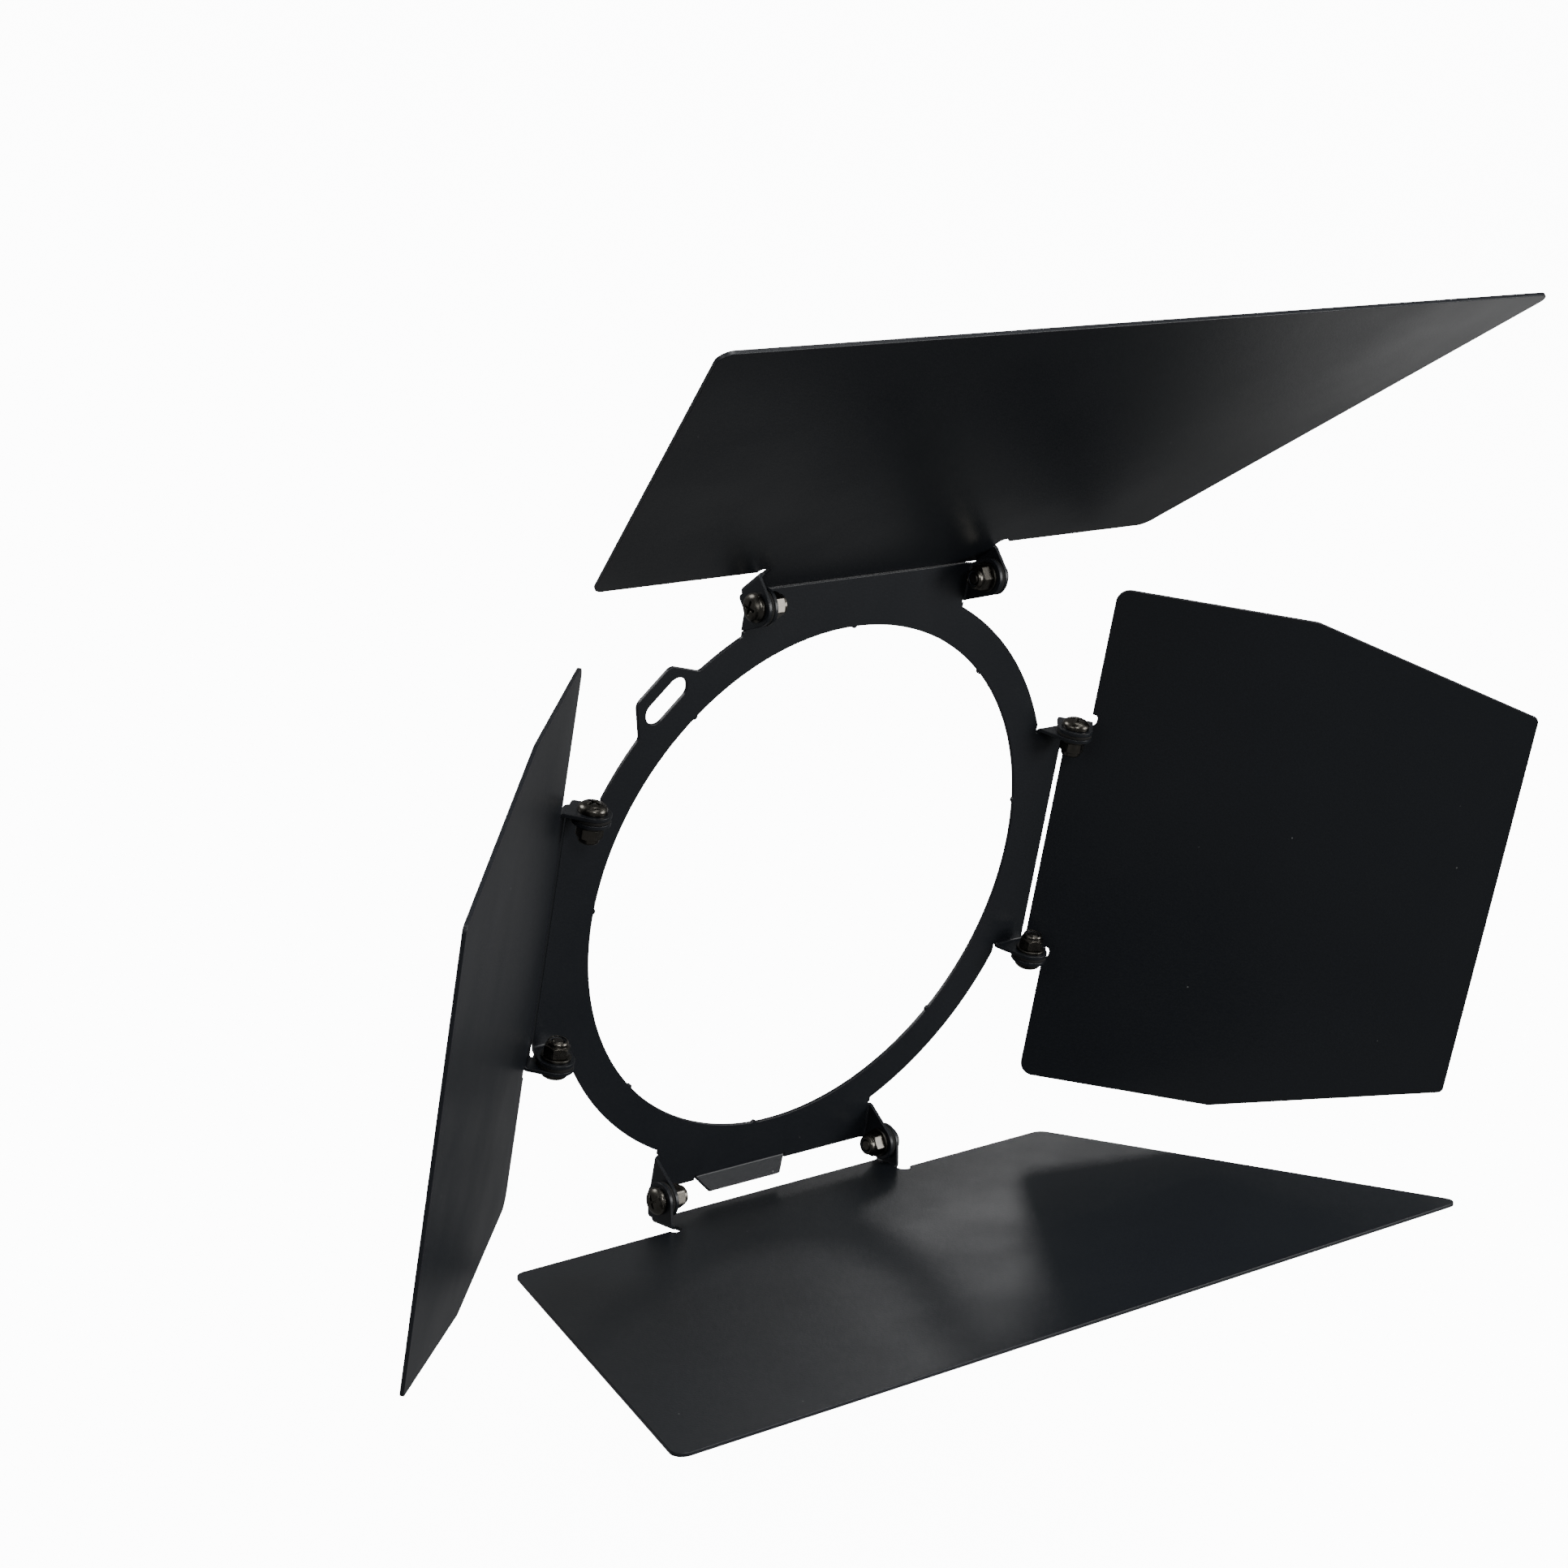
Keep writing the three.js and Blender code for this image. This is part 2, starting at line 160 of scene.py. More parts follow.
def inset(loop, distance):
    """The loop moved into the metal on its left by a distance, with mitred corners."""
    ahead = np.roll(loop, -1, 0) - loop
    ahead /= np.linalg.norm(ahead, axis=1)[:, None]
    normal = left_of(ahead) + left_of(np.roll(ahead, 1, 0))
    normal /= (normal * left_of(ahead)).sum(1)[:, None]
    return loop + normal * distance, normal / np.linalg.norm(normal, axis=1)[:, None]


def bend(along, height, angle):
    """Section of a bend: a point at a distance past the bend line and a height off the sheet's
    middle goes round the bend's centre by distance over radius, then straight on."""
    turn = np.clip(along / BEND_MIDDLE, 0, angle)
    beyond = np.maximum(along - BEND_MIDDLE * angle, 0)
    radius = BEND_MIDDLE - height
    out = radius * np.sin(turn) + beyond * math.cos(angle) + np.minimum(along, 0)
    up = SHEET / 2 + BEND_MIDDLE - radius * np.cos(turn) + beyond * math.sin(angle)
    return out, up


def inside(points, loops):
    """True where a point is inside an odd number of loops, by counting crossings to its right."""
    crossings = np.zeros(len(points), int)
    for loop in loops:
        ax, ay = loop.T
        bx, by = np.roll(loop, -1, 0).T
        x, y = points[:, :1], points[:, 1:]
        spans = (ay > y) != (by > y)
        with np.errstate(divide="ignore", invalid="ignore"):
            at = ax + (y - ay) * (bx - ax) / (by - ay)
        crossings += (spans & (x < at)).sum(1)
    return crossings % 2 == 1


def folded_blank(loops, lines, fold, spread):
    """A closed sheet with rounded edges. The edge is a profile swept along each cut loop: a
    quarter circle, the cut face and another quarter circle. Both faces are triangulated inside
    the loops with points along the bend lines. fold() takes rows of x, y, height and label to
    3-D, and a normal is carried by folding the two ends of a short step along it. spread() is
    where the labelled points lie while the faces are triangulated."""
    loops = [filled(np.vstack((loop, loop[:1])), EDGE_STEP)[:-1] for loop in loops]
    quarter = np.linspace(0, math.pi / 2, 4)
    insets = EDGE_ROUND * (1 - np.sin(quarter))
    insets = np.concatenate((insets, insets[::-1]))
    heights = SHEET / 2 - EDGE_ROUND * (1 - np.cos(quarter))
    heights = np.concatenate((heights, -heights[::-1]))
    leans = np.concatenate((np.cos(quarter), -np.cos(quarter)[::-1]))
    points, normals, faces, front, back, base = [], [], [], [], [], 0
    for loop in loops:
        for distance, height, lean in zip(insets, heights, leans):
            moved, inward = inset(loop[:, :2], distance)
            level = np.full(len(loop), height)
            points.append(np.column_stack((moved, level, loop[:, 2])))
            across = math.sqrt(max(0.0, 1 - lean * lean))
            normals.append(np.column_stack((-inward * across, np.full(len(loop), lean))))
        rows = base + np.arange(len(insets) * len(loop)).reshape(len(insets), -1)
        ahead = np.roll(rows, -1, 1)
        faces.append(np.stack((rows[:-1], rows[1:], ahead[1:], ahead[:-1]), -1).reshape(-1, 4))
        front.append(rows[0])
        back.append(rows[-1])
        base += rows.size
    rims = [np.column_stack((inset(loop[:, :2], EDGE_ROUND)[0], loop[:, 2])) for loop in loops]
    edges, at = [], 0
    for rim in rims:
        index = at + np.arange(len(rim))
        edges.append(np.stack((index, np.roll(index, -1)), 1))
        at += len(rim)
    for line in lines:
        index = at + np.arange(len(line))
        edges.append(np.stack((index[:-1], index[1:]), 1))
        at += len(line)
    inner = np.vstack(lines)
    flat = spread(np.vstack(rims + [inner]))
    found = delaunay_2d_cdt([Vector(p) for p in flat], np.vstack(edges).tolist(), [], 1, 1e-7)
    if max(map(len, found[3])) > 1 or min(map(len, found[3])) < 1:
        raise ValueError("the blank's lines cross or touch")
    source = np.array([origin[0] for origin in found[3]])
    triangles = source[np.array(found[2])]
    triangles = triangles[inside(flat[triangles].mean(1), [spread(rim) for rim in rims])]
    one, two = (flat[triangles[:, k]] - flat[triangles[:, 0]] for k in (1, 2))
    clockwise = one[:, 0] * two[:, 1] < one[:, 1] * two[:, 0]
    triangles[clockwise] = triangles[clockwise][:, ::-1]
    for sign, row in ((1, front), (-1, back)):
        own = base + np.arange(len(inner))
        level = np.full(len(inner), sign * SHEET / 2)
        points.append(np.column_stack((inner[:, :2], level, inner[:, 2])))
        normals.append(np.tile((0.0, 0.0, float(sign)), (len(inner), 1)))
        faces.append(np.concatenate(row + [own])[triangles[:, ::sign]])
        base += len(inner)
    points, normals = np.vstack(points), np.vstack(normals)
    step = np.column_stack((normals, np.zeros(len(normals)))) * 1e-3
    directions = fold(points + step) - fold(points - step)
    directions /= np.linalg.norm(directions, axis=1)[:, None]
    return fold(points), faces, directions


def make_piece(name, points, faces, material, body, node, normals=None, sharp=None):
    """Mesh object from millimetre points and arrays of faces, riding on a body for a CAD node."""
    mesh = bpy.data.meshes.new(name)
    mesh.from_pydata((points / 1000).tolist(), [], [f for part in faces for f in part.tolist()])
    mesh.polygons.foreach_set("use_smooth", np.ones(len(mesh.polygons), bool))
    if sharp is not None:
        mesh.set_sharp_from_angle(angle=math.radians(sharp))
    mesh.materials.append(material)
    mesh.update()
    if normals is not None:
        mesh.normals_split_custom_set_from_vertices(normals.tolist())
    piece = bpy.data.objects.new(name, mesh)
    bpy.context.scene.collection.objects.link(piece)
    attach(piece, body)
    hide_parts(node)
    return piece


def srgb(code):
    """Hex colour as the linear RGBA that shaders use."""
    values = np.array([int(code[i:i + 2], 16) / 255 for i in (0, 2, 4)])
    linear = np.where(values <= 0.04045, values / 12.92, ((values + 0.055) / 1.055) ** 2.4)
    return (*linear.tolist(), 1.0)


def add_node(tree, kind, settings=(), inputs=(), links=()):
    """Adds a shader node, sets its options and input values, and links outputs to its inputs."""
    new = tree.nodes.new(kind)
    for key, value in dict(settings).items():
        setattr(new, key, value)
    for key, value in dict(inputs).items():
        new.inputs[key].default_value = value
    for key, socket in dict(links).items():
        tree.links.new(socket, new.inputs[key])
    return new


def new_material(name):
    """Empty node material: its tree, its Principled shader and the object coordinates."""
    material = bpy.data.materials.new(name)
    material.use_nodes = True
    tree = material.node_tree
    coordinates = add_node(tree, "ShaderNodeTexCoord").outputs["Object"]
    return material, tree, tree.nodes["Principled BSDF"], coordinates


def noise(tree, where, scale, detail):
    """Factor from 0 to 1 of a noise with so many cells to the metre."""
    cells = add_node(tree, "ShaderNodeTexNoise", inputs={"Scale": scale, "Detail": detail},
                     links={"Vector": where})
    return cells.outputs["Fac"]


def two_tones(tree, factor, dark, light):
    """Colour that runs with the factor from one hex colour to the other."""
    tone = add_node(tree, "ShaderNodeMix", {"data_type": "RGBA"}, links={0: factor})
    tone.inputs["A"].default_value = srgb(dark)
    tone.inputs["B"].default_value = srgb(light)
    return tone.outputs["Result"]


def ranged(tree, factor, smoothest, roughest, span=(0.0, 1.0)):
    """Roughness that runs between two values as the factor runs over a span."""
    gloss = add_node(tree, "ShaderNodeMapRange", inputs={
        "From Min": span[0], "From Max": span[1], "To Min": smoothest, "To Max": roughest},
        links={"Value": factor})
    return gloss.outputs["Result"]


def finish_surface(tree, shader, colour, roughness, relief, strength, distance):
    """Links colour and roughness to the shader, and relief through a bump so many metres high."""
    bump = add_node(tree, "ShaderNodeBump", inputs={"Strength": strength, "Distance": distance},
                    links={"Height": relief})
    tree.links.new(colour, shader.inputs["Base Color"])
    tree.links.new(roughness, shader.inputs["Roughness"])
    tree.links.new(bump.outputs["Normal"], shader.inputs["Normal"])


def powder_coat(name, dark, light, roughness):
    """Satin black powder coat on steel sheet: orange peel about 0.7 mm across, a grain of 0.2 mm,
    slow changes of gloss 40 mm across, and a pale speck of dust in each cell of 14 mm."""
    material, tree, shader, where = new_material(name)
    slow = noise(tree, where, 24, 3)
    peel = noise(tree, where, 1400, 2)
    grain = noise(tree, where, 5200, 1)
    speck = add_node(tree, "ShaderNodeTexVoronoi", inputs={"Scale": 70}, links={"Vector": where})
    near = add_node(tree, "ShaderNodeMath", {"operation": "LESS_THAN"}, {1: 0.018},
                    {0: speck.outputs["Distance"]})
    dusty = add_node(tree, "ShaderNodeMix", {"data_type": "RGBA"},
                     links={0: near.outputs[0], "A": two_tones(tree, grain, dark, light)})
    dusty.inputs["B"].default_value = srgb("6a6c6c")
    relief = add_node(tree, "ShaderNodeMath", {"operation": "MULTIPLY_ADD"}, {1: 0.35},
                      {0: grain, 2: peel})
    gloss = ranged(tree, slow, roughness - 0.04, roughness + 0.04, (0.3, 0.7))
    finish_surface(tree, shader, dusty.outputs["Result"], gloss, relief.outputs[0], 0.35, 0.00006)
    shader.inputs["Specular IOR Level"].default_value = 0.4
    return material


def ear_blank(side, inner_root, outer_root):
    """Unfolded outline of a plate ear, in (s, v): tangents from its two roots to the round end.
    The end's centre lies past the bend line by the bend's length and the rest of its height."""
    bend_line = side["tab"] - BEND_INSIDE
    centre = bend_line + BEND_LENGTH + PIVOT_LEVEL - SHEET / 2 - BEND_MIDDLE
    turns = []
    for (u, v), turn in ((inner_root, 1), (outer_root, -1)):
        tangent = math.acos(EAR_RADIUS / math.hypot(u - centre, v - side["axis"]))
        turns.append(math.degrees(math.atan2(v - side["axis"], u - centre) + turn * tangent))
    end = arc(centre, side["axis"], EAR_RADIUS, turns[0] % 360 - 360, turns[1] % 360)
    return centre, filled(np.vstack(([inner_root], end, [outer_root])), EAR_STEP)


LIP_SPAN = (-9.2, 26.2)            # along the bottom tab, in that side's own frame
LIP_START = 97.5
LIP_ANGLE = math.radians(43)
LIP_END = LIP_START + BEND_MIDDLE * LIP_ANGLE + 5.25
LIP_TAPER = 3.6
LIP_SLIT = 0.5
LIP_STEP = 0.3


def tab_outline(name, side):
    """Flat outline of one tab from its right end to its left end: free end, relief, ear, edge.
    Returns where the ring meets it as well, and the ears' bend lines and holes."""
    half, edge, line = side["tab"], side["tab_edge"], side["tab"] - BEND_INSIDE
    relief = EAR_ROOT - RELIEF
    reach = max(half, math.sqrt(RING_RADIUS ** 2 - relief ** 2))
    # the first and the last point only give the corners next to them their directions
    before = (half, 80) if reach == half else (reach + 2, relief - 0.93)
    root = rounded([before, (reach, relief, RELIEF_CORNER), (line, relief, SLOT_CORNER),
                    (line, EAR_ROOT, RELIEF_CORNER), (line + 3, EAR_ROOT)])[1:-1]
    centre, ear = ear_blank(side, (line + EAR_FLARE, EAR_ROOT), (line + EAR_FLARE, edge))
    right = np.vstack((root, ear))
    middle = np.zeros((0, 2))
    if name == "bottom":
        lip = []
        for sign, end in ((1, LIP_SPAN[1]), (-1, LIP_SPAN[0])):
            slit = end + sign * LIP_SLIT
            lip.append([(sign * half, edge, 0), (slit, edge, RELIEF_CORNER),
                        (slit, LIP_START, SLOT_CORNER), (end, LIP_START, SLOT_CORNER),
                        (end, LIP_START + 1, 0), (end - sign * LIP_TAPER, LIP_END, 1)])
        middle = filled(rounded(lip[0] + lip[1][::-1])[1:-1], LIP_STEP)
    lines = []
    for u in np.linspace(0.05, BEND_LENGTH, BEND_ROWS):
        start = EAR_ROOT + BEND_CLEAR + max(0, u - EAR_FLARE)
        column = np.column_stack((np.full(12, line + u), np.linspace(start, edge - BEND_CLEAR, 12)))
        lines += [column, column * (-1, 1)]
    holes = [arc(sign * centre, side["axis"], HOLE_RADIUS, 0, -350, 10) for sign in (-1, 1)]
    return np.vstack((right, middle, right[::-1] * (-1, 1))), reach, lines, holes


def fold_plate(points):
    """Folds every ear forward by a right angle, the lip by its angle, and stands the plate up."""
    x, z, height = points[:, :3].T
    out = np.column_stack((x, -(height + SHEET / 2), z))
    for name, side in SIDES.items():
        c, k = math.cos(math.radians(side["turn"])), math.sin(math.radians(side["turn"]))
        s, v = x * c - z * k, x * k + z * c
        line = side["tab"] - BEND_INSIDE
        folded = (np.abs(s) > line) & (v > EAR_ROOT - 0.5)
        away, level = bend(np.abs(s) - line, height, math.pi / 2)
        s = np.where(folded, np.sign(s) * (line + away), s)
        if name == "bottom":
            lip = (v > LIP_START) & (s > LIP_SPAN[0] - 0.1) & (s < LIP_SPAN[1] + 0.1)
            down, rise = bend(v - LIP_START, height, LIP_ANGLE)
            v, level = np.where(lip, LIP_START + down, v), np.where(lip, rise, level)
            folded |= lip
        moved = np.column_stack((s * c + v * k, -level, v * c - s * k))
        out[folded] = moved[folded]
    return out


RELIEF_TURN = 0.3                  # degrees from a relief's corner to the ring's first point
LUG_TURN = -45
LUG_GAP = 0.5                      # degrees from the lug's foot to the ring's first point
LUG = [(17, 93.72), (13.2, 94.33, 2), (7.5, 104, 3),
       (-7.5, 104, 3), (-13.2, 94.33, 2), (-17, 93.72)]
LUG_SLOT = (4.7, 96.3, 3.5)        # half the distance between its round ends, its level, its radius
NIB_ANGLES = np.array([90, 47.9, 10, -42.4, -93.8, 177.4, 132.5, -135.0])
NIB_OUT = 0.4                      # a nib's centre lies this far outside the opening


def plate_blank():
    """Cut loops of the plate: ring, tabs and lug round the outside, then the opening with the
    nibs left by the cutter, the lug's slot and the eight hinge holes. A nib is the circle of
    radius 1 round a point just outside the opening, where it is nearer to the centre."""
    parts, spans, lines, holes = [], [], [], []
    for name, side in SIDES.items():
        outline, reach, tab_lines, tab_holes = tab_outline(name, side)
        half_span = math.degrees(math.asin(reach / RING_RADIUS))
        half_span += RELIEF_TURN if reach > side["tab"] else 0
        spans.append((90 - side["turn"] - half_span, 90 - side["turn"] + half_span))
        parts.append(turned_side(outline, side["turn"]))
        lines += [turned_side(line, side["turn"]) for line in tab_lines]
        holes += [turned_side(hole, side["turn"]) for hole in tab_holes]
    foot = math.degrees(math.atan2(*LUG[0])) + LUG_GAP
    outline = []
    for k, part in enumerate(parts):
        start, end = spans[k][1] % 360, spans[(k + 1) % 4][0] % 360
        end += 360 * (end <= start)
        outline.append(part)
        if k == 0:
            middle = 90 - LUG_TURN
            outline += [arc(0, 0, RING_RADIUS, start, middle - foot, 1),
                        turned_side(rounded(LUG), LUG_TURN)]
            start = middle + foot
        outline.append(arc(0, 0, RING_RADIUS, start, end, 1))
    for v in np.linspace(LIP_START + 0.05, LIP_START + BEND_MIDDLE * LIP_ANGLE, 5):
        line = np.column_stack((np.linspace(LIP_SPAN[0] + 1, LIP_SPAN[1] - 1, 24), np.full(24, v)))
        lines.append(turned_side(line, SIDES["bottom"]["turn"]))
    close = (NIB_ANGLES[:, None] + np.linspace(-0.75, 0.75, 15)).ravel() % 360
    apart = np.abs((np.arange(360)[:, None] - NIB_ANGLES + 180) % 360 - 180).min(1)
    angles = np.sort(np.concatenate((np.arange(360)[apart > 0.8], close)))
    off = np.radians((angles[:, None] - NIB_ANGLES + 180) % 360 - 180)
    centre = OPENING_RADIUS + NIB_OUT
    in_nib = 1 - (centre * np.sin(off)) ** 2
    near = centre * np.cos(off) - np.sqrt(np.abs(in_nib))
    near = np.where((in_nib > 0) & (np.abs(off) < 0.02), near, OPENING_RADIUS)
    radius = np.minimum(OPENING_RADIUS, near.min(1))
    turn = np.radians(angles)
    opening = (radius * np.array((np.cos(turn), np.sin(turn)))).T[::-1]
    half, level, end = LUG_SLOT
    slot = np.vstack((arc(-half, level, end, 270, 90), arc(half, level, end, 90, -90)))
    loops = [np.vstack(outline), opening, turned_side(slot, LUG_TURN)] + holes
    return [[np.column_stack((points, np.zeros(len(points)))) for points in group]
            for group in (loops, lines)]


plate_coat = powder_coat("steel_satin_black_powder_coat_plate", "14161a", "24272c", 0.34)
points, faces, normals = folded_blank(*plate_blank(), fold_plate, lambda labelled: labelled[:, :2])
make_piece("plate_sheet", points, faces, plate_coat, "frame", "plate", normals)

# ------------------------------------------------------------------------------------------
# Four leaves. Each is one 1.2 mm steel blank with two ears folded a right angle towards its
# inner side, and a notch beside each ear so the bend doesn't tear. The wide leaves shade top
# and bottom, the slim ones with cut shoulders the sides. Powder coated like the plate.
# ------------------------------------------------------------------------------------------

LEAF_EAR_OUT = 2 * SHEET + 1.1     # outer face of a leaf ear past the plate ear's inner face
FOOT_CORNER = 1.2
NOTCH_WIDE = 4.0
NOTCH_DEEP = 1.8                   # past the leaf's hinge-side edge
NOTCH_RADII = (1.9, 1.2)           # beside the ear and beside the edge
HINGE_CORNER = 4.5
WIDE_CORNER = 3.5
SHOULDER_CORNER = 3.0
SLIM_CORNER = 2.0
CHART_LEAN = 0.3                   # how far apart the ears are laid for triangulation


def leaf_bend_line(side):
    """Half distance between a leaf's two bend lines."""
    return side["tab"] + LEAF_EAR_OUT - SHEET - BEND_INSIDE


def leaf_blank(side):
    """Cut loops and bend lines of a flat leaf, in (s along the hinge, r away from it, label).
    The label is 1 on the ears: laid flat, the ears of a slim leaf would cover its hinge edge."""
    flat, top = leaf_bend_line(side), side["hinge"] + NOTCH_DEEP
    bent = flat + BEND_LENGTH
    centre = bent + side["offset"] - BEND_INSIDE
    foot = rounded([(flat, side["tab_end"]), (bent, side["tab_end"], RELIEF_CORNER),
                    (bent, -EAR_RADIUS, FOOT_CORNER), (centre, -EAR_RADIUS)])[1:-1]
    end = arc(centre, 0, EAR_RADIUS, -90, 90)
    first, second = NOTCH_RADII
    turn = math.degrees(math.asin(max(0.0, EAR_RADIUS - (top - first)) / first))
    notch = np.vstack((arc(flat + first, top - first, first, 180 - turn, 90),
                       arc(flat + NOTCH_WIDE - second, top - second, second, 90, 0)))
    ear = [(flat, side["tab_end"])], foot, end, [(flat + 0.3, EAR_RADIUS)]
    ear = filled(np.vstack(ear), EAR_STEP)
    far = [(side["far_half"], side["far"], WIDE_CORNER)]
    if "shoulder" in side:
        far = [(side["hinge_half"], side["shoulder"], SHOULDER_CORNER),
               (side["far_half"], side["far"], SLIM_CORNER)]
    edge = flat + NOTCH_WIDE
    rim = rounded([(edge, side["hinge"] + 0.6), (edge, side["hinge"], 0.5),
                   (side["hinge_half"], side["hinge"], HINGE_CORNER), *far, (0, side["far"])])[1:]
    parts = [ear, notch, rim] if turn else [ear, [(flat, EAR_RADIUS)], notch, rim]
    right = np.vstack([np.column_stack((part, np.full(len(part), float(part is ear))))
                       for part in parts])
    outline = np.vstack((right, right[-2::-1] * (-1, 1, 1)))
    lines = []
    for u in np.linspace(0.05, BEND_LENGTH, BEND_ROWS):
        column = np.linspace(side["tab_end"] + BEND_CLEAR, EAR_RADIUS - BEND_CLEAR, 12)
        line = np.column_stack((np.full(12, flat + u), column, np.ones(12)))
        lines += [line, line * (-1, 1, 1)]
    hole = arc(centre, 0, HOLE_RADIUS, 0, -350, 10)
    hole = np.column_stack((hole, np.ones(len(hole))))
    return [outline, hole, (hole * (-1, 1, 1))[::-1]], lines


def leaf_fold(side):
    """The fold of one leaf, swung to its stored angle about the hinge axis: r turns from straight
    out to straight forward, and the panel keeps its distance behind the axis."""
    flat = leaf_bend_line(side)
    c, k = math.cos(math.radians(side["turn"])), math.sin(math.radians(side["turn"]))
    out, ahead = math.cos(math.radians(side["rest"])), math.sin(math.radians(side["rest"]))

    def fold(points):
        s, r, height, ear = points.T
        away, up = bend(np.abs(s) - flat, height, math.pi / 2)
        s = np.where(ear > 0.5, np.sign(s) * (flat + away), s)
        level = np.where(ear > 0.5, up, height + SHEET / 2) - SHEET - side["offset"]
        v = side["axis"] + r * out - level * ahead
        w = PIVOT_LEVEL + r * ahead + level * out
        return np.column_stack((s * c + v * k, -w, v * c - s * k))

    def spread(labelled):
        lean = labelled[:, 2] * CHART_LEAN * np.maximum(np.abs(labelled[:, 0]) - flat, 0)
        return np.column_stack((labelled[:, 0], labelled[:, 1] - lean))

    return fold, spread


leaf_coat = powder_coat("steel_satin_black_powder_coat_leaves", "14161a", "24272c", 0.34)
for name, side in SIDES.items():
    points, faces, normals = folded_blank(*leaf_blank(side), *leaf_fold(side))
    make_piece(f"leaf_{name}_sheet", points, faces, leaf_coat, f"leaf_{name}", f"leaf_{name}",
               normals)

# ------------------------------------------------------------------------------------------
# Pan-head screws, one through each pair of ears. Cold-headed M4 steel with a pressed cross
# recess, plated black zinc: dark, slightly warm, glossier than the coat, with fine grain.
# ------------------------------------------------------------------------------------------

TURN = np.radians(np.arange(0, 360, 1.5))
GAP = 0.05                         # between two pieces of the stack
WASHER_THICK = 0.85
FRICTION_THICK = 1.0
NUT_TOP = -2 * GAP - WASHER_THICK
NUT_TALL = 4.9
SHANK_RADIUS = 1.95
HEAD_LOW = 2 * SHEET + FRICTION_THICK + 3 * GAP
HEAD_RADIUS = 4.35
HEAD_RIM = 0.7
HEAD_TALL = 2.8
CROWN_FLAT = 1.2                   # radius of the head's flat middle
WING_HALF = 0.42                   # half the width of a recess wing
WING_END = 2.5                     # reach of a wing at the top, as much less as it goes deeper
RECESS_DEEP = 1.7


def black_zinc(name, dark, light, roughness):
    """Black zinc plate on steel: metal, with a mottled chromate tone about 2 mm across, fine
    grain from the barrel at 0.15 mm, and rub marks that vary the gloss."""
    material, tree, shader, where = new_material(name)
    mottle = noise(tree, where, 500, 3)
    grain = noise(tree, where, 6500, 1)
    gloss = ranged(tree, mottle, roughness - 0.07, roughness + 0.09, (0.3, 0.7))
    finish_surface(tree, shader, two_tones(tree, mottle, dark, light), gloss, grain, 0.25, 0.00002)
    shader.inputs["Metallic"].default_value = 1.0
    return material


def turned_piece(radius, height, closed):
    """A surface round an axis, from a radius and a height for each row and each angle. Where
    closed is true the last row joins the first; else both ends run in to a point on the axis.
    Rows go up the outside, so the faces point outwards."""
    rows = max(len(radius), len(height))
    radius, height = (np.broadcast_to(part, (rows, len(TURN))) for part in (radius, height))
    points = np.stack((radius * np.cos(TURN), radius * np.sin(TURN), height), -1).reshape(-1, 3)
    index = np.arange(len(points)).reshape(rows, -1)
    ahead = np.roll(index, -1, 1)
    above = np.roll(index, -1, 0) if closed else index[1:]
    above_ahead = np.roll(ahead, -1, 0) if closed else ahead[1:]
    base = slice(None) if closed else slice(0, -1)
    faces = [np.stack((index[base], ahead[base], above_ahead, above), -1).reshape(-1, 4)]
    if not closed:
        first, last = len(points), len(points) + 1
        ends = ((0, 0, height[0].mean()), (0, 0, height[-1].mean()))
        points = np.vstack((points, ends))
        faces.append(np.stack((np.full(len(TURN), first), ahead[0], index[0]), -1))
        faces.append(np.stack((np.full(len(TURN), last), index[-1], ahead[-1]), -1))
    return points, faces


def on_hinge(points, side, end, turn):
    """Points of a turned piece, with height outward along the hinge axis from the plate ear's inner
    face, turned about that axis and brought to one end of one side's hinge."""
    c, k = math.cos(turn), math.sin(turn)
    a, b = points[:, 0] * c - points[:, 1] * k, points[:, 0] * k + points[:, 1] * c
    s, v, w = end * (side["tab"] + points[:, 2]), side["axis"] + a, PIVOT_LEVEL + end * b
    c, k = math.cos(math.radians(side["turn"])), math.sin(math.radians(side["turn"]))
    return np.column_stack((s * c + v * k, -w, v * c - s * k))


def crown_level(r):
    """Height of the head's crown at a radius: flat in the middle, then a quarter ellipse."""
    share = (np.maximum(r - CROWN_FLAT, 0) / (HEAD_RADIUS - CROWN_FLAT)).clip(0, 1)
    return HEAD_LOW + HEAD_RIM + (HEAD_TALL - HEAD_RIM) * np.sqrt(1 - share ** 2)


def recess_radius(reach):
    """Outline of the cross recess in polar form: the nearer of a wing's end and its side."""
    wing = np.abs((TURN + math.pi / 4) % (math.pi / 2) - math.pi / 4)
    return np.minimum(reach / np.cos(wing), WING_HALF / np.sin(wing).clip(0.02))


